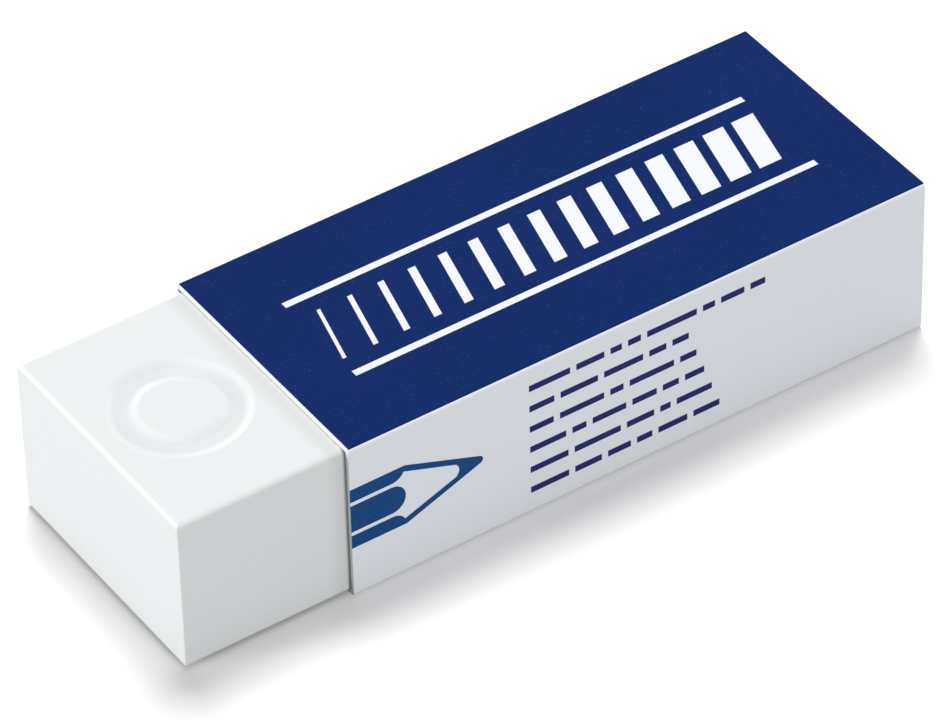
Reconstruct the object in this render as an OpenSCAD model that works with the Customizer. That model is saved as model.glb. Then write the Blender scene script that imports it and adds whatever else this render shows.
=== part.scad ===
// White vinyl eraser block in a folded card sleeve, in millimetres.
// X runs along the block with the bare working end at -X, Y across it, Z up.
// The origin is on the table, under the middle of the block's length and the sleeve's width.

/* [Eraser block] */
// Length of the block
block_l = 65; // [55:0.5:90]
// Width of the block
block_w = 21.5; // [18:0.1:40]
// Height of the block
block_h = 13.3; // [8:0.05:25]
// Rounding of the block's edges beyond the inside radius of the card's folds
edge_ease = 0.2; // [0.05:0.05:0.5]

/* [Pressed ring] */
// Radius of the ring pressed into the bare top, at the middle of its groove
ring_r = 4.2; // [3:0.1:5]
// Width of the groove at the surface
ring_w = 2.8; // [1:0.1:3.5]
// Depth of the groove
ring_depth = 0.25; // [0.1:0.05:0.5]

/* [Card sleeve] */
// Length of the sleeve
sleeve_l = 51; // [20:0.5:55]
// Thickness of the card
card_t = 0.3; // [0.2:0.05:0.8]
// Radius on the inside of each fold
fold_r = 0.05; // [0.05:0.05:0.6]
// How far the glued lap inside the back panel stops short of the top panel
lap_short = 0.3; // [0.2:0.1:6]

/* [Fit] */
// Play between block and sleeve across the width, both sides together
side_play = 0.35; // [0.2:0.05:1.5]
// Share of that play on the back of the block
back_play_share = 0.2; // [0.1:0.05:0.9]
// Play between the block's top and the sleeve's top panel
top_play = 0.05; // [0.05:0.05:0.5]

/* [Hidden] */
$fn = 96;

// The folded sleeve takes its section from the block, the play round it and the card
fold_outer_r = fold_r + card_t;
sleeve_w = block_w + side_play + 3 * card_t;
sleeve_h = block_h + top_play + 2 * card_t;
sleeve_front_y = -sleeve_w / 2;
sleeve_back_y = sleeve_w / 2;
lap_back_y = sleeve_back_y - card_t;

// The block lies on the bottom panel with its far end flush with the sleeve's
block_front_x = -block_l / 2;
block_back_y = lap_back_y - card_t - back_play_share * side_play;
block_front_y = block_back_y - block_w;
block_top_z = card_t + block_h;
sleeve_mouth_x = block_l / 2 - sleeve_l;
edge_r = fold_r + edge_ease;

// The ring sits in the middle of the bare top
bare_l = block_l - sleeve_l;
ring_x = block_front_x + bare_l / 2;
ring_y = (block_front_y + block_back_y) / 2;
// Radius of the groove's round section, from its width and depth
groove_r = (ring_w * ring_w / 4 + ring_depth * ring_depth) / (2 * ring_depth);

// Box of the given size with its four edges along Z rounded
module rounded_post(x, y, z, r) {
    linear_extrude(z)
        union() {
            translate([r, 0]) square([x - 2 * r, y]);
            translate([0, r]) square([x, y - 2 * r]);
            for (cx = [r, x - r], cy = [r, y - r])
                translate([cx, cy]) circle(r);
        }
}

// Round bottom of the groove, with its top standing clear of the surface
module groove_section() {
    half_w = ring_w / 2 + ring_depth;
    intersection() {
        translate([0, groove_r - ring_depth]) circle(groove_r);
        translate([-half_w, -2 * ring_depth]) square([2 * half_w, 3 * ring_depth]);
    }
}

// Moulded block: every edge is rounded, and a soft ring is pressed into its bare top
module eraser_block() {
    color("whitesmoke")
    difference() {
        translate([block_front_x, block_front_y, card_t])
            intersection() {
                rounded_post(block_l, block_w, block_h, edge_r);
                translate([0, block_w, 0]) rotate([90, 0, 0])
                    rounded_post(block_l, block_h, block_w, edge_r);
                rotate([90, 0, 90])
                    rounded_post(block_w, block_h, block_l, edge_r);
            }
        translate([ring_x, ring_y, block_top_z])
            rotate_extrude()
                translate([ring_r, 0]) groove_section();
    }
}

// Flat panel of the card, as long as the sleeve
module panel(y, z, w, h) {
    translate([sleeve_mouth_x, y, z]) cube([sleeve_l, w, h]);
}

// Quarter-round fold of the card about an axis along X, starting at the given turn from +Y
module fold(y, z, turn) {
    translate([sleeve_mouth_x, y, z])
        rotate([turn, 0, 0]) rotate([90, 0, 90])
            rotate_extrude(angle = 90)
                translate([fold_r, 0]) square([card_t, sleeve_l]);
}

// One sheet of card folded round the block, from the foot of the back panel to the glued lap
module card_sleeve() {
    fold_front_y = sleeve_front_y + fold_outer_r;
    fold_back_y = sleeve_back_y - fold_outer_r;
    fold_lap_y = lap_back_y - fold_outer_r;
    fold_low_z = fold_outer_r;
    fold_high_z = sleeve_h - fold_outer_r;
    lap_h = sleeve_h - card_t - lap_short - fold_low_z;
    color("midnightblue")
    union() {
        panel(sleeve_back_y - card_t, 0, card_t, fold_high_z);
        fold(fold_back_y, fold_high_z, 0);
        panel(fold_front_y, sleeve_h - card_t, fold_back_y - fold_front_y, card_t);
        fold(fold_front_y, fold_high_z, 90);
        panel(sleeve_front_y, fold_low_z, card_t, fold_high_z - fold_low_z);
        fold(fold_front_y, fold_low_z, 180);
        panel(fold_front_y, 0, fold_lap_y - fold_front_y, card_t);
        fold(fold_lap_y, fold_low_z, 270);
        panel(lap_back_y - card_t, fold_low_z, card_t, lap_h);
    }
}

eraser_block();
card_sleeve();
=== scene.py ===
"""White vinyl eraser block in a folded, printed card sleeve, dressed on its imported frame."""
import math

import bmesh
import bpy
from mathutils import Matrix, Vector
from mathutils.geometry import tessellate_polygon


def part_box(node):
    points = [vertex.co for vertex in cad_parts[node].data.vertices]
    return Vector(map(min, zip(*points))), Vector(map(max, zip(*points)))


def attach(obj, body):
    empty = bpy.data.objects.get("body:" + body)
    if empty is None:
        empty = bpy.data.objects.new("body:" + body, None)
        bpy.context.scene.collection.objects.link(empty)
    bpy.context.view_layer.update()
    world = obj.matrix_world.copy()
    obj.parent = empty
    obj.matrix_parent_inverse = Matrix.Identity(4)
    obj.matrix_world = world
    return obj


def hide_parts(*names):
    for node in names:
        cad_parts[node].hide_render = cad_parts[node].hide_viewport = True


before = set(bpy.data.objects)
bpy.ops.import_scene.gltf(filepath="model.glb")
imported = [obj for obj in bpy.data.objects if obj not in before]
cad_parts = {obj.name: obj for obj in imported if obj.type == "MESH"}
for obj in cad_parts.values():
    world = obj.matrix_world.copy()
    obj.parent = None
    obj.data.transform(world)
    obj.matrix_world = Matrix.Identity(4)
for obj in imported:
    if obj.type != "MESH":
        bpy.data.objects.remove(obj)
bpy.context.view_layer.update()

# Eraser block: one bar of soft white vinyl, moulded and cut with barely rounded edges.
# A plain ring is pressed into the top of the bare end. Nothing fixes the block: the card grips it.
MM = 0.001
# Rounding of the cut edges, of the softer edges round the top, and the least that a corner keeps
CUT_EDGE_R = 0.13 * MM
TOP_EDGE_R = 0.4 * MM
LEAST_R = 0.02 * MM
EDGE_STEPS = 6
# Faces that meet at more than this angle keep a sharp edge between them
SHARP_ANGLE = math.radians(40)
# How far the soft top stands into the play under the card, so that only a fine dark line shows there
TOP_SWELL = 0.03 * MM
RING_R = 4.2 * MM
RING_W = 2.8 * MM
RING_DEPTH = 0.25 * MM
RING_LIP = 1.0 * MM
RING_SEGMENTS = 128
RING_STEPS = 22
# Reach of the painted shade at the sleeve's mouth, a grey band out over the bare end and in under the card
MOUTH_SHADE_OUTSIDE = 2.0 * MM
MOUTH_SHADE_INSIDE = 0.8 * MM
# Patterns of the vinyl by the size of their features, with the height of two that make it uneven,
# and how far light sinks in
MOTTLE = 2.5 * MM
GRAIN = 0.22 * MM
GRAIN_HEIGHT = 0.006 * MM
WAVE = 6 * MM
WAVE_HEIGHT = 0.08 * MM
LIGHT_REACH = 0.3 * MM
# Sockets of a colour mix: its two colours and what comes out
FIRST_COLOUR, SECOND_COLOUR, MIXED = 6, 7, 2


def linear(code):
    """Linear colour of an sRGB hex code."""
    parts = [int(code[i:i + 2], 16) / 255 for i in (0, 2, 4)]
    return [p / 12.92 if p <= 0.04045 else ((p + 0.055) / 1.055) ** 2.4 for p in parts] + [1.0]


def add_node(tree, kind, inputs=None, **settings):
    """New node with its settings, each input either set to a value or linked from a socket."""
    made = tree.nodes.new(kind)
    for name, value in settings.items():
        setattr(made, name, value)
    for socket, value in (inputs or {}).items():
        if isinstance(value, bpy.types.NodeSocket):
            tree.links.new(value, made.inputs[socket])
        else:
            made.inputs[socket].default_value = value
    return made


def new_material(name):
    """Empty node material, its tree and the object coordinates in metres."""
    made = bpy.data.materials.new(name)
    made.use_nodes = True
    made.node_tree.nodes.clear()
    place = add_node(made.node_tree, "ShaderNodeTexCoord").outputs["Object"]
    return made, made.node_tree, place


def piece_from(name, bm, *materials):
    """Object at the origin from a finished bmesh, smooth where its faces meet softly."""
    mesh = bpy.data.meshes.new(name)
    bm.to_mesh(mesh)
    bm.free()
    for material in materials:
        mesh.materials.append(material)
    mesh.shade_smooth()
    mesh.set_sharp_from_angle(angle=SHARP_ANGLE)
    piece = bpy.data.objects.new(name, mesh)
    bpy.context.collection.objects.link(piece)
    weighted = piece.modifiers.new("even shading on flats", "WEIGHTED_NORMAL")
    weighted.keep_sharp = True
    return piece


def pressed_depth(distance):
    """Depth of the pressed ring at a distance from the middle of its groove."""
    inside = min(max((RING_W / 2 - distance) / RING_LIP, 0.0), 1.0)
    return RING_DEPTH * inside * inside * (3 - 2 * inside)


sleeve_low, sleeve_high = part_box("card_sleeve")
block_low, block_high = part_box("eraser_block")
block_high.z += TOP_SWELL
block_middle = (block_low + block_high) / 2
mouth_x = sleeve_low.x
ring_x = (block_low.x + mouth_x) / 2
bends = [math.radians(90 * k / EDGE_STEPS) for k in range(EDGE_STEPS + 1)]
# Levels of the block from the bottom up, as how far its outline draws in and at what height
levels = [(CUT_EDGE_R * (1 - math.sin(b)), block_low.z + CUT_EDGE_R * (1 - math.cos(b))) for b in bends]
levels += [(TOP_EDGE_R * (1 - math.cos(b)), block_high.z - TOP_EDGE_R * (1 - math.sin(b))) for b in bends]
# Corners of an outline, as the turn at which each starts and its way from the middle along X and Y
quarters = ((0.0, 1, 1), (math.pi / 2, -1, 1), (math.pi, -1, -1), (1.5 * math.pi, 1, -1))
bm = bmesh.new()
outlines = []
for inset, z in levels:
    r = max(CUT_EDGE_R - inset, LEAST_R)
    half = (block_high - block_low) / 2 - Vector((inset + r, inset + r, 0.0))
    outlines.append([bm.verts.new((block_middle.x + way_x * half.x + r * math.cos(start + b),
                                   block_middle.y + way_y * half.y + r * math.sin(start + b), z))
                     for start, way_x, way_y in quarters for b in bends])
rings = []
turns = [math.tau * k / RING_SEGMENTS for k in range(RING_SEGMENTS)]
for step in range(RING_STEPS + 1):
    offset = RING_W * (0.5 - step / RING_STEPS)
    radius = RING_R + offset
    height = block_high.z - pressed_depth(abs(offset))
    rings.append([bm.verts.new((ring_x + radius * math.cos(a), block_middle.y + radius * math.sin(a), height))
                  for a in turns])
for loops in (outlines, rings):
    for first, second in zip(loops, loops[1:]):
        for k in range(len(first)):
            bm.faces.new((first[k - 1], first[k], second[k], second[k - 1]))
border = outlines[-1] + rings[0]
for corners in tessellate_polygon([[v.co for v in outlines[-1]], [v.co for v in rings[0]]]):
    bm.faces.new([border[k] for k in corners])
bm.faces.new(outlines[0])
bm.faces.new(rings[-1])
bmesh.ops.recalc_face_normals(bm, faces=bm.faces)

# Soft vinyl, matt from the mould: light sinks in a little and rounds off the shading at edges,
# with a faint chalky mottle and a fine grain too small to see except as a lack of gloss.
vinyl, tree, place = new_material("moulded soft white vinyl")
mottle = add_node(tree, "ShaderNodeTexNoise", {"Vector": place, "Scale": 1 / MOTTLE, "Detail": 4.0,
                                               "Roughness": 0.6})
clean = add_node(tree, "ShaderNodeMix", {"Factor": mottle.outputs["Fac"], FIRST_COLOUR: linear("EEF1F1"),
                                         SECOND_COLOUR: linear("F2F4F3")}, data_type="RGBA")
along = add_node(tree, "ShaderNodeSeparateXYZ", {0: place})
# Painted shade: the vinyl's colour turns grey (E4E5E4) in a band round the sleeve's mouth, standing in for
# the shade where the card's edge meets the block
before = add_node(tree, "ShaderNodeMapRange", {"Value": along.outputs["X"], "From Min": mouth_x - MOUTH_SHADE_OUTSIDE,
                                               "From Max": mouth_x}, interpolation_type="SMOOTHERSTEP")
past = add_node(tree, "ShaderNodeMapRange", {"Value": along.outputs["X"], "From Min": mouth_x,
                                             "From Max": mouth_x + MOUTH_SHADE_INSIDE, "To Min": 1.0, "To Max": 0.0})
painted_mouth_shade = add_node(tree, "ShaderNodeMath", {0: before.outputs["Result"], 1: past.outputs["Result"]},
               operation="MULTIPLY")
tint = add_node(tree, "ShaderNodeMix", {"Factor": painted_mouth_shade.outputs[0], FIRST_COLOUR: clean.outputs[MIXED],
                                        SECOND_COLOUR: linear("E4E5E4")}, data_type="RGBA")
grain = add_node(tree, "ShaderNodeTexNoise", {"Vector": place, "Scale": 1 / GRAIN, "Detail": 3.0})
sheen = add_node(tree, "ShaderNodeMapRange", {"Value": grain.outputs["Fac"], "To Min": 0.65, "To Max": 0.8})
wave = add_node(tree, "ShaderNodeTexNoise", {"Vector": place, "Scale": 1 / WAVE, "Detail": 1.0})
soft = add_node(tree, "ShaderNodeBump", {"Height": wave.outputs["Fac"], "Strength": 0.5,
                                         "Distance": WAVE_HEIGHT})
fine = add_node(tree, "ShaderNodeBump", {"Height": grain.outputs["Fac"], "Strength": 0.5,
                                         "Distance": GRAIN_HEIGHT, "Normal": soft.outputs["Normal"]})
skin = add_node(tree, "ShaderNodeBsdfPrincipled", {
    "Base Color": tint.outputs[MIXED], "Roughness": sheen.outputs["Result"], "Normal": fine.outputs["Normal"],
    "IOR": 1.53, "Specular IOR Level": 0.1, "Subsurface Weight": 0.12,
    "Subsurface Radius": (1.0, 0.95, 0.9), "Subsurface Scale": LIGHT_REACH})
add_node(tree, "ShaderNodeOutputMaterial", {"Surface": skin.outputs[0]})

block = piece_from("vinyl_block", bm, vinyl)
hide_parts("eraser_block")
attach(block, "block")

# Card sleeve: one sheet of thin white coated card, printed, die cut, creased and folded round the block.
# It runs from the foot of the back panel over the top and under the block to a glued lap inside the back.
CARD_T = 0.3 * MM
FOLD_R = 0.05 * MM
FOLD_STEPS = 8
LAP_SHORT = 0.3 * MM
INK_FILM = 0.01 * MM
# White edge that the blue leaves at the mouth, and how many steps of each top fold it runs onto
MOUTH_MARGIN = 0.13 * MM
INKED_FOLD_STEPS = 3
# Patterns of the card, by the size of their features, and the height of its fibres
FIBRE = 0.3 * MM
CLOUD = 5 * MM
FUZZ = 0.12 * MM
FIBRE_HEIGHT = 0.01 * MM
# The felt's fibres lie along the sleeve, twice as long as they are wide
FELT = (0.5, 1.0, 1.0)
# Patterns of the ink: the fibres under it, the press roller's unevenness and bare fibre tips
INKED_FIBRE = 0.25 * MM
ROLLER = 14 * MM
FIBRE_TIP = 0.16 * MM
# Places of the sleeve's materials in its mesh
COATED, INKED, BARE = 0, 1, 2

# Coated white card: smooth and a little cool, with the felt of its fibres just showing through.
card, tree, place = new_material("coated white folding card")
felt = add_node(tree, "ShaderNodeMapping", {"Vector": place, "Scale": FELT})
fibre = add_node(tree, "ShaderNodeTexNoise", {"Vector": felt.outputs[0], "Scale": 1 / FIBRE,
                                              "Detail": 4.0, "Roughness": 0.65})
cloud = add_node(tree, "ShaderNodeTexNoise", {"Vector": place, "Scale": 1 / CLOUD, "Detail": 2.0})
blend = add_node(tree, "ShaderNodeMath", {0: fibre.outputs["Fac"], 1: cloud.outputs["Fac"]},
                 operation="MULTIPLY")
tint = add_node(tree, "ShaderNodeMix", {"Factor": blend.outputs[0], FIRST_COLOUR: linear("F3F6FB"),
                                        SECOND_COLOUR: linear("F9FAFC")}, data_type="RGBA")
tooth = add_node(tree, "ShaderNodeBump", {"Height": fibre.outputs["Fac"], "Strength": 0.4,
                                          "Distance": FIBRE_HEIGHT})
coat = add_node(tree, "ShaderNodeBsdfPrincipled", {
    "Base Color": tint.outputs[MIXED], "Roughness": 0.5, "Normal": tooth.outputs["Normal"],
    "IOR": 1.5, "Specular IOR Level": 0.3})
add_node(tree, "ShaderNodeOutputMaterial", {"Surface": coat.outputs[0]})

# Bare card, on the inside and at every cut edge: nearly as white as the outside but open and fibrous.
bare_card, tree, place = new_material("uncoated side of white folding card")
fuzz = add_node(tree, "ShaderNodeTexNoise", {"Vector": place, "Scale": 1 / FUZZ, "Detail": 3.0})
tint = add_node(tree, "ShaderNodeMix", {"Factor": fuzz.outputs["Fac"], FIRST_COLOUR: linear("E9EBEE"),
                                        SECOND_COLOUR: linear("F2F4F6")}, data_type="RGBA")
rough = add_node(tree, "ShaderNodeBump", {"Height": fuzz.outputs["Fac"], "Strength": 0.5,
                                          "Distance": FIBRE_HEIGHT})
core = add_node(tree, "ShaderNodeBsdfPrincipled", {
    "Base Color": tint.outputs[MIXED], "Roughness": 0.85, "Normal": rough.outputs["Normal"],
    "IOR": 1.5, "Specular IOR Level": 0.1})
add_node(tree, "ShaderNodeOutputMaterial", {"Surface": core.outputs[0]})


def ink_on_card(name, thin, full, fleck):
    """Printing ink on the card: its cover varies with the fibres, and bare fibre tips fleck it."""
    made, tree, place = new_material(name)
    felt = add_node(tree, "ShaderNodeMapping", {"Vector": place, "Scale": FELT})
    fibre = add_node(tree, "ShaderNodeTexNoise", {"Vector": felt.outputs[0], "Scale": 1 / INKED_FIBRE,
                                                  "Detail": 5.0, "Roughness": 0.7})
    roller = add_node(tree, "ShaderNodeTexNoise", {"Vector": place, "Scale": 1 / ROLLER, "Detail": 1.0})
    uneven = add_node(tree, "ShaderNodeMath", {0: roller.outputs["Fac"], 1: 0.4, 2: fibre.outputs["Fac"]},
                      operation="MULTIPLY_ADD")
    spread = add_node(tree, "ShaderNodeMapRange", {"Value": uneven.outputs[0], "From Min": 0.3,
                                                   "From Max": 1.1})
    cover = add_node(tree, "ShaderNodeMix", {"Factor": spread.outputs["Result"], FIRST_COLOUR: linear(full),
                                             SECOND_COLOUR: linear(thin)}, data_type="RGBA")
    tips = add_node(tree, "ShaderNodeTexNoise", {"Vector": place, "Scale": 1 / FIBRE_TIP, "Detail": 1.0})
    bare = add_node(tree, "ShaderNodeMapRange", {"Value": tips.outputs["Fac"], "From Min": 0.72,
                                                 "From Max": 0.78})
    tint = add_node(tree, "ShaderNodeMix", {"Factor": bare.outputs["Result"],
                                            FIRST_COLOUR: cover.outputs[MIXED],
                                            SECOND_COLOUR: linear(fleck)}, data_type="RGBA")
    tooth = add_node(tree, "ShaderNodeBump", {"Height": fibre.outputs["Fac"], "Strength": 0.4,
                                              "Distance": FIBRE_HEIGHT})
    coat = add_node(tree, "ShaderNodeBsdfPrincipled", {
        "Base Color": tint.outputs[MIXED], "Roughness": 0.6, "Normal": tooth.outputs["Normal"],
        "IOR": 1.5, "Specular IOR Level": 0.04})
    add_node(tree, "ShaderNodeOutputMaterial", {"Surface": coat.outputs[0]})
    return made


# Solid offset ink: a deep even blue with a slight mottle from the felt of the card under it.
deep_blue = ink_on_card("deep blue offset ink on card", "0A2F72", "021E57", "3A5E9E")

# The sheet is a film of ink smaller than the sleeve's box, so that the prints on it stay inside that
fold_out = FOLD_R + CARD_T - INK_FILM
front_y = sleeve_low.y + FOLD_R + CARD_T
back_y = sleeve_high.y - FOLD_R - CARD_T
lap_y = back_y - CARD_T
low_z = sleeve_low.z + FOLD_R + CARD_T
high_z = sleeve_high.z - FOLD_R - CARD_T
# Points along the sheet, as the middle of a fold and the turn about it from +Y in degrees
sheet = [(back_y, sleeve_low.z + INK_FILM, 0.0)]
for centre_y, centre_z, start in ((back_y, high_z, 0), (front_y, high_z, 90), (front_y, low_z, 180),
                                  (lap_y, low_z, 270)):
    sheet += [(centre_y, centre_z, start + 90 * k / FOLD_STEPS) for k in range(FOLD_STEPS + 1)]
sheet.append((lap_y, high_z + FOLD_R - LAP_SHORT, 360.0))

bm = bmesh.new()
outside, inside = [], []
stations = (mouth_x, mouth_x + MOUTH_MARGIN, sleeve_high.x)
for x in stations:
    for side, r in ((outside, fold_out), (inside, FOLD_R)):
        side.append([bm.verts.new((x, y + r * math.cos(math.radians(a)), z + r * math.sin(math.radians(a))))
                     for y, z, a in sheet])
# The blue covers the top panel past the margin at the mouth, with some steps of the fold on each side
top_start = 1 + FOLD_STEPS - INKED_FOLD_STEPS
top_end = 1 + (FOLD_STEPS + 1) + INKED_FOLD_STEPS
last_station, last_point = len(stations) - 1, len(sheet) - 1
for near in range(last_station):
    far = near + 1
    for k in range(last_point):
        face = bm.faces.new((outside[near][k], outside[far][k], outside[far][k + 1], outside[near][k + 1]))
        face.material_index = INKED if near > 0 and top_start <= k < top_end else COATED
        bm.faces.new((inside[near][k], inside[near][k + 1], inside[far][k + 1],
                      inside[far][k])).material_index = BARE
    for k in (0, last_point):
        bm.faces.new((outside[near][k], outside[far][k], inside[far][k],
                      inside[near][k])).material_index = BARE
for end in (0, last_station):
    for k in range(last_point):
        bm.faces.new((outside[end][k], outside[end][k + 1], inside[end][k + 1],
                      inside[end][k])).material_index = BARE
bmesh.ops.recalc_face_normals(bm, faces=bm.faces)
sleeve = piece_from("folded_card_sleeve", bm, card, deep_blue, bare_card)
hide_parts("card_sleeve")
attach(sleeve, "sleeve")

# Two white rules along the top panel, as card that the blue leaves without ink. Here they are thin
# films of the card's white laid on the panel, and the sleeve carries them as it slides.
# Sizes on the print are in millimetres: the margin at each end, and how far each rule is off the middle.
RULE_MARGIN = 5.0
RULE_OFFSET = 4.6
RULE_THICK = 0.6


def on_top(u, v, h):
    """Place on the top panel, from millimetres along X and Y and a height above the card."""
    return Vector((u * MM, v * MM, sleeve_high.z - INK_FILM + h))


def ink_film(name, shapes, place_on, ink):
    """Closed film of ink from flat shapes: each is an outline in millimetres, then its holes."""
    bm = bmesh.new()
    for loops in shapes:
        flat = [[Vector((u, v, 0.0)) for u, v in loop] for loop in loops]
        low = [[bm.verts.new(place_on(p.x, p.y, 0.0)) for p in loop] for loop in flat]
        high = [[bm.verts.new(place_on(p.x, p.y, INK_FILM)) for p in loop] for loop in flat]
        for face in (low, high):
            verts = [v for loop in face for v in loop]
            for corners in tessellate_polygon(flat):
                bm.faces.new([verts[k] for k in corners])
        for below, above in zip(low, high):
            for k in range(len(below)):
                bm.faces.new((below[k - 1], below[k], above[k], above[k - 1]))
    bmesh.ops.recalc_face_normals(bm, faces=bm.faces)
    piece = piece_from(name, bm, ink)
    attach(piece, "sleeve")


rule_start = mouth_x / MM + RULE_MARGIN
rule_end = sleeve_high.x / MM - RULE_MARGIN
panel_middle = (sleeve_low.y + sleeve_high.y) / 2
rules = []
for way in (-1, 1):
    near_v = panel_middle / MM + way * RULE_OFFSET - RULE_THICK / 2
    far_v = near_v + RULE_THICK
    rules.append([[(rule_start, near_v), (rule_end, near_v), (rule_end, far_v), (rule_start, far_v)]])
ink_film("white_rules", rules, on_top, card)

# Row of slanted white strokes between the rules, each thinner than the next, like a pencil hatching
# that is being rubbed out from the bare end. It is part of the same printing as the rules.
STROKE_MARGIN = 6.1 * MM
strokes = {"Count": 15, "First": mouth_x + STROKE_MARGIN, "Pitch": 2.7 * MM, "Middle": panel_middle,
           "Height": 5.6 * MM, "Thickest": 2.0 * MM, "Thinnest": 0.3 * MM, "Slant": 0.25,
           "Level": sleeve_high.z - INK_FILM / 2, "Film": INK_FILM, "Ink": card}


def tree_for(name, sizes):
    """Geometry Nodes tree with a named input for each size, and the sockets that give them."""
    tree = bpy.data.node_groups.new(name, "GeometryNodeTree")
    kinds = {int: "NodeSocketInt", float: "NodeSocketFloat"}
    for label, value in sizes.items():
        tree.interface.new_socket(label, in_out="INPUT",
                                  socket_type=kinds.get(type(value), "NodeSocketMaterial"))
    tree.interface.new_socket("Geometry", in_out="OUTPUT", socket_type="NodeSocketGeometry")
    return tree, add_node(tree, "NodeGroupInput").outputs


def grown(name, tree, sizes):
    """Plain mesh that a tree grows from its named sizes."""
    piece = bpy.data.objects.new(name, bpy.data.meshes.new(name))
    bpy.context.collection.objects.link(piece)
    growth = piece.modifiers.new(tree.name, "NODES")
    growth.node_group = tree
    for socket in tree.interface.items_tree:
        if socket.in_out == "INPUT":
            growth[socket.identifier] = sizes[socket.name]
    bpy.context.view_layer.update()
    depsgraph = bpy.context.evaluated_depsgraph_get()
    mesh = bpy.data.meshes.new_from_object(piece.evaluated_get(depsgraph), depsgraph=depsgraph)
    piece.modifiers.remove(growth)
    piece.data = mesh
    return piece


tree, size = tree_for("graded strokes", strokes)
index = add_node(tree, "GeometryNodeInputIndex").outputs[0]
along = add_node(tree, "ShaderNodeMath", {0: index, 1: size["Pitch"], 2: size["First"]},
                 operation="MULTIPLY_ADD")
spot = add_node(tree, "ShaderNodeCombineXYZ", {"X": along.outputs[0], "Y": size["Middle"],
                                               "Z": size["Level"]})
points = add_node(tree, "GeometryNodePoints", {"Count": size["Count"], "Position": spot.outputs[0]})
last = add_node(tree, "ShaderNodeMath", {0: size["Count"], 1: 1.0}, operation="SUBTRACT")
width = add_node(tree, "ShaderNodeMapRange", {"Value": index, "From Max": last.outputs[0],
                                              "To Min": size["Thinnest"], "To Max": size["Thickest"]})
girth = add_node(tree, "ShaderNodeCombineXYZ", {"X": width.outputs[0], "Y": size["Height"],
                                                "Z": size["Film"]})
bar = add_node(tree, "GeometryNodeMeshCube", {"Size": (1.0, 1.0, 1.0)})
row = add_node(tree, "GeometryNodeInstanceOnPoints", {"Points": points.outputs[0], "Instance": bar.outputs[0],
                                                      "Scale": girth.outputs[0]})
real = add_node(tree, "GeometryNodeRealizeInstances", {0: row.outputs[0]})
where = add_node(tree, "ShaderNodeSeparateXYZ", {0: add_node(tree, "GeometryNodeInputPosition").outputs[0]})
rise = add_node(tree, "ShaderNodeMath", {0: where.outputs["Y"], 1: size["Middle"]}, operation="SUBTRACT")
lean = add_node(tree, "ShaderNodeMath", {0: rise.outputs[0], 1: size["Slant"]}, operation="MULTIPLY")
shift = add_node(tree, "ShaderNodeCombineXYZ", {"X": lean.outputs[0]})
slanted = add_node(tree, "GeometryNodeSetPosition", {"Geometry": real.outputs[0], "Offset": shift.outputs[0]})
inked = add_node(tree, "GeometryNodeSetMaterial", {"Geometry": slanted.outputs[0], "Material": size["Ink"]})
add_node(tree, "NodeGroupOutput", {0: inked.outputs[0]})
stroke_row = grown("white_graded_strokes", tree, strokes)
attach(stroke_row, "sleeve")

# Pencil figure on the camera side: three bands with scalloped ends for the barrel, a sharpened
# cone in outline and a solid point. It is printed in one mid blue and runs out at the mouth.
PENCIL_AXIS = 7.42
PENCIL_HALF = 2.78
BAND_HALF = 1.24
BAND_GAP = 0.34
SHOULDER = -13.78
CONE_LINE = 0.54
LEAD_START = -9.42
# How far the back of the solid point bows towards the tip, on the axis and halfway out from it
LEAD_BOW = 0.26
LEAD_BOW_HALFWAY = 0.2
TIP = -7.1
TIP_R = 0.37
# Turn each way from the axis over which the tip is round, in degrees
TIP_TURN = 78


def on_side(u, v, h):
    """Place on the camera side, from millimetres along X and Z and a height above the card."""
    return Vector((u * MM, sleeve_low.y + INK_FILM - h, v * MM))


def arc(u, v, radius, start, end, steps):
    """Points along an arc in millimetres, its turns in degrees."""
    angles = [math.radians(start + (end - start) * k / steps) for k in range(steps + 1)]
    return [(u + radius * math.cos(a), v + radius * math.sin(a)) for a in angles]


# Flat process ink: a lighter blue than the solid on top, over the same felt of the card.
mid_blue = ink_on_card("mid blue ink on card", "245690", "18467E", "557DAE")
barrel = mouth_x / MM
inner = BAND_HALF + BAND_GAP
lobe_r = PENCIL_HALF - inner
meet = math.degrees(math.asin(CONE_LINE / lobe_r))
round_u = TIP - TIP_R
slope = (PENCIL_HALF - TIP_R) / (SHOULDER - round_u)
lead_half = TIP_R + slope * (LEAD_START - round_u) - CONE_LINE
middle_band = [(barrel, -BAND_HALF)] + arc(SHOULDER - BAND_HALF, 0.0, BAND_HALF, -90, 90, steps=24)
middle_band.append((barrel, BAND_HALF))
upper_edge = [(barrel, inner)] + arc(SHOULDER - lobe_r, PENCIL_HALF, lobe_r, -90, -meet, steps=12)
upper_edge += [(LEAD_START, lead_half), (LEAD_START + LEAD_BOW_HALFWAY, lead_half / 2)]
outline = upper_edge + [(LEAD_START + LEAD_BOW, 0.0)] + [(u, -v) for u, v in reversed(upper_edge)]
outline += [(barrel, -PENCIL_HALF), (SHOULDER, -PENCIL_HALF)]
outline += arc(round_u, 0.0, TIP_R, -TIP_TURN, TIP_TURN, steps=10)
outline += [(SHOULDER, PENCIL_HALF), (barrel, PENCIL_HALF)]
shapes = [[[(u, PENCIL_AXIS + v) for u, v in loop]] for loop in (middle_band, outline)]
ink_film("pencil_figure", shapes, on_side, mid_blue)

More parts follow.
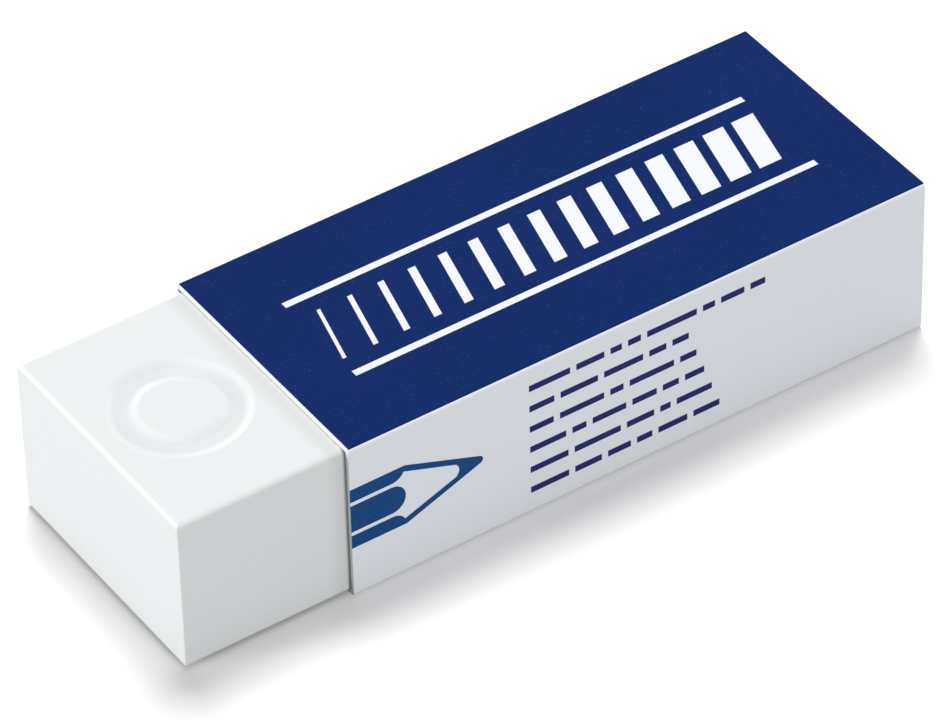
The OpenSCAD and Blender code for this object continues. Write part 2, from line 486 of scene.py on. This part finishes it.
# Rows of plain dashes on the camera side, six of them ranged left, the first the longest, in a dark
# violet blue. A row is Reach long and Growth more for each row above it, and First extra goes to the first.
dashes = {"Rows": 6, "Per row": 10, "Left": -3.0 * MM, "Top row": 11.9 * MM, "Row pitch": 1.94 * MM,
          "Shortest": 0.75 * MM, "Longest": 4.6 * MM, "Gap": 0.55 * MM, "Reach": 13.4 * MM,
          "Growth": 0.69 * MM, "First extra": 7.55 * MM, "Thickness": 0.57 * MM, "Seed": 7,
          "Level": sleeve_low.y + INK_FILM / 2, "Film": INK_FILM,
          "Ink": ink_on_card("dark violet blue ink on card", "323675", "272B64", "5A5F96")}
tree, size = tree_for("rows of dashes", dashes)
total = add_node(tree, "ShaderNodeMath", {0: size["Rows"], 1: size["Per row"]}, operation="MULTIPLY")
points = add_node(tree, "GeometryNodePoints", {"Count": total.outputs[0]})
index = add_node(tree, "GeometryNodeInputIndex").outputs[0]
share = add_node(tree, "ShaderNodeMath", {0: index, 1: size["Per row"]}, operation="DIVIDE")
line = add_node(tree, "ShaderNodeMath", {0: share.outputs[0]}, operation="FLOOR").outputs[0]
length = add_node(tree, "FunctionNodeRandomValue", {2: size["Shortest"], 3: size["Longest"], "ID": index,
                                                    "Seed": size["Seed"]}, data_type="FLOAT").outputs[1]
advance = add_node(tree, "ShaderNodeMath", {0: length, 1: size["Gap"]}, operation="ADD")
run = add_node(tree, "GeometryNodeAccumulateField", {"Value": advance.outputs[0], "Group ID": line},
               data_type="FLOAT", domain="POINT").outputs["Trailing"]
reach = add_node(tree, "ShaderNodeMath", {0: line, 1: size["Growth"], 2: size["Reach"]},
                 operation="MULTIPLY_ADD")
first = add_node(tree, "ShaderNodeMath", {0: line, 1: 0.5}, operation="LESS_THAN")
limit = add_node(tree, "ShaderNodeMath", {0: first.outputs[0], 1: size["First extra"], 2: reach.outputs[0]},
                 operation="MULTIPLY_ADD")
# A dash that leaves no room for another runs on, or is cut, to the end of its row
spare = add_node(tree, "ShaderNodeMath", {0: limit.outputs[0], 1: run}, operation="SUBTRACT")
after = add_node(tree, "ShaderNodeMath", {0: spare.outputs[0], 1: advance.outputs[0]}, operation="SUBTRACT")
last = add_node(tree, "ShaderNodeMath", {0: after.outputs[0], 1: size["Shortest"]}, operation="LESS_THAN")
change = add_node(tree, "ShaderNodeMath", {0: spare.outputs[0], 1: length}, operation="SUBTRACT")
cut = add_node(tree, "ShaderNodeMath", {0: last.outputs[0], 1: change.outputs[0], 2: length},
               operation="MULTIPLY_ADD").outputs[0]
kept = add_node(tree, "ShaderNodeMath", {0: spare.outputs[0], 1: size["Shortest"]}, operation="GREATER_THAN")
half = add_node(tree, "ShaderNodeMath", {0: cut, 1: 0.5, 2: run}, operation="MULTIPLY_ADD")
along = add_node(tree, "ShaderNodeMath", {0: half.outputs[0], 1: size["Left"]}, operation="ADD")
drop = add_node(tree, "ShaderNodeMath", {0: line, 1: size["Row pitch"]}, operation="MULTIPLY")
level = add_node(tree, "ShaderNodeMath", {0: size["Top row"], 1: drop.outputs[0]}, operation="SUBTRACT")
spot = add_node(tree, "ShaderNodeCombineXYZ", {"X": along.outputs[0], "Y": size["Level"],
                                               "Z": level.outputs[0]})
placed = add_node(tree, "GeometryNodeSetPosition", {"Geometry": points.outputs[0],
                                                    "Position": spot.outputs[0]})
girth = add_node(tree, "ShaderNodeCombineXYZ", {"X": cut, "Y": size["Film"], "Z": size["Thickness"]})
bar = add_node(tree, "GeometryNodeMeshCube", {"Size": (1.0, 1.0, 1.0)})
rows = add_node(tree, "GeometryNodeInstanceOnPoints", {
    "Points": placed.outputs[0], "Selection": kept.outputs[0], "Instance": bar.outputs[0],
    "Scale": girth.outputs[0]})
real = add_node(tree, "GeometryNodeRealizeInstances", {0: rows.outputs[0]})
inked = add_node(tree, "GeometryNodeSetMaterial", {"Geometry": real.outputs[0], "Material": size["Ink"]})
add_node(tree, "NodeGroupOutput", {0: inked.outputs[0]})
dash_rows = grown("dash_rows", tree, dashes)
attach(dash_rows, "sleeve")

# Studio: a plain white floor and room, one soft light from overhead and a little behind, a soft
# fill from each of the four sides, and a camera at the photograph's angle.
FLOOR_HALF = 2.0
bm = bmesh.new()
bmesh.ops.create_grid(bm, x_segments=1, y_segments=1, size=FLOOR_HALF)
floor_mesh = bpy.data.meshes.new("studio_floor")
bm.to_mesh(floor_mesh)
bm.free()


def seen_directly(tree):
    """Socket that is 1 for rays that show a thing, also mirrored or through glass, and 0 for its light."""
    ray = add_node(tree, "ShaderNodeLightPath").outputs
    seen = ray["Is Camera Ray"]
    for kind in ("Is Glossy Ray", "Is Transmission Ray"):
        seen = add_node(tree, "ShaderNodeMath", {0: seen, 1: ray[kind]}, operation="MAXIMUM").outputs[0]
    return seen


# Matt paper: it looks white up to the shadow, and throws less light back up than that white would.
paper, tree, place = new_material("matt white studio paper")
grey = add_node(tree, "ShaderNodeBsdfDiffuse", {"Color": linear("969899")})
pale = add_node(tree, "ShaderNodeBsdfDiffuse", {"Color": linear("FFFDFC")})
lift = add_node(tree, "ShaderNodeEmission", {"Color": linear("FFFFFF"), "Strength": 0.125})
white = add_node(tree, "ShaderNodeAddShader", {0: pale.outputs[0], 1: lift.outputs[0]})
sheet_face = add_node(tree, "ShaderNodeMixShader", {0: seen_directly(tree), 1: grey.outputs[0],
                                                    2: white.outputs[0]})
add_node(tree, "ShaderNodeOutputMaterial", {"Surface": sheet_face.outputs[0]})
floor_mesh.materials.append(paper)
floor = bpy.data.objects.new("studio_floor", floor_mesh)
bpy.context.collection.objects.link(floor)

# The room is seen as white and lights the part only weakly, so that the lamps shape it
world = bpy.data.worlds.new("white studio")
bpy.context.scene.world = world
world.use_nodes = True
tree = world.node_tree
tree.nodes.clear()
glow = add_node(tree, "ShaderNodeBackground", {"Color": linear("F8FBFF"), "Strength": 0.23})
backdrop = add_node(tree, "ShaderNodeBackground", {"Color": linear("FFFFFF"), "Strength": 1.0})
both = add_node(tree, "ShaderNodeMixShader", {0: seen_directly(tree), 1: glow.outputs[0],
                                              2: backdrop.outputs[0]})
add_node(tree, "ShaderNodeOutputWorld", {"Surface": both.outputs[0]})

# Each lamp is a wide soft sun: name, direction it shines from, strength, angle across in degrees
for name, source, strength, across in (("overhead soft light", (0.22, 0.29, 1.0), 1.82, 21),
                                       ("soft fill on the bare end", (-1.0, 0.3, 0.12), 2.57, 20),
                                       ("weak front fill", (0.1, -1.0, 0.1), 1.68, 24),
                                       ("weak back fill", (0.3, 1.0, 0.12), 0.8, 24),
                                       ("weak fill on the flush end", (1.0, 0.2, 0.12), 1.0, 24)):
    lamp = bpy.data.lights.new(name, "SUN")
    lamp.energy = strength
    lamp.angle = math.radians(across)
    holder = bpy.data.objects.new(name, lamp)
    holder.rotation_euler = Vector(source).to_track_quat("Z", "Y").to_euler()
    bpy.context.collection.objects.link(holder)

CAMERA_AZIMUTH = -33.221
CAMERA_ELEVATION = 40.774
CAMERA_ROLL = -1.597
CAMERA_DISTANCE = 508.58 * MM
CAMERA_AIM = Vector((-1.327, -1.852, 6.975)) * MM
PHOTO_WIDTH = 950
FOCAL_PIXELS = 6951.6
azimuth, elevation, roll = (math.radians(a) for a in (CAMERA_AZIMUTH, CAMERA_ELEVATION, CAMERA_ROLL))
back = Vector((math.sin(azimuth) * math.cos(elevation), -math.cos(azimuth) * math.cos(elevation),
               math.sin(elevation)))
level_right = Vector((math.cos(azimuth), math.sin(azimuth), 0.0))
level_up = back.cross(level_right)
right = math.cos(roll) * level_right + math.sin(roll) * level_up
up = math.cos(roll) * level_up - math.sin(roll) * level_right
view = bpy.data.cameras.new("photograph")
view.sensor_fit = "HORIZONTAL"
view.sensor_width = 36.0
view.lens = view.sensor_width * FOCAL_PIXELS / PHOTO_WIDTH
view.clip_start = 0.01
view.clip_end = 10.0
camera = bpy.data.objects.new("photograph", view)
camera.matrix_world = Matrix.Translation(CAMERA_AIM + CAMERA_DISTANCE * back) @ Matrix(
    (right, up, back)).transposed().to_4x4()
bpy.context.collection.objects.link(camera)
bpy.context.scene.camera = camera
bpy.context.scene.view_settings.view_transform = "Standard"
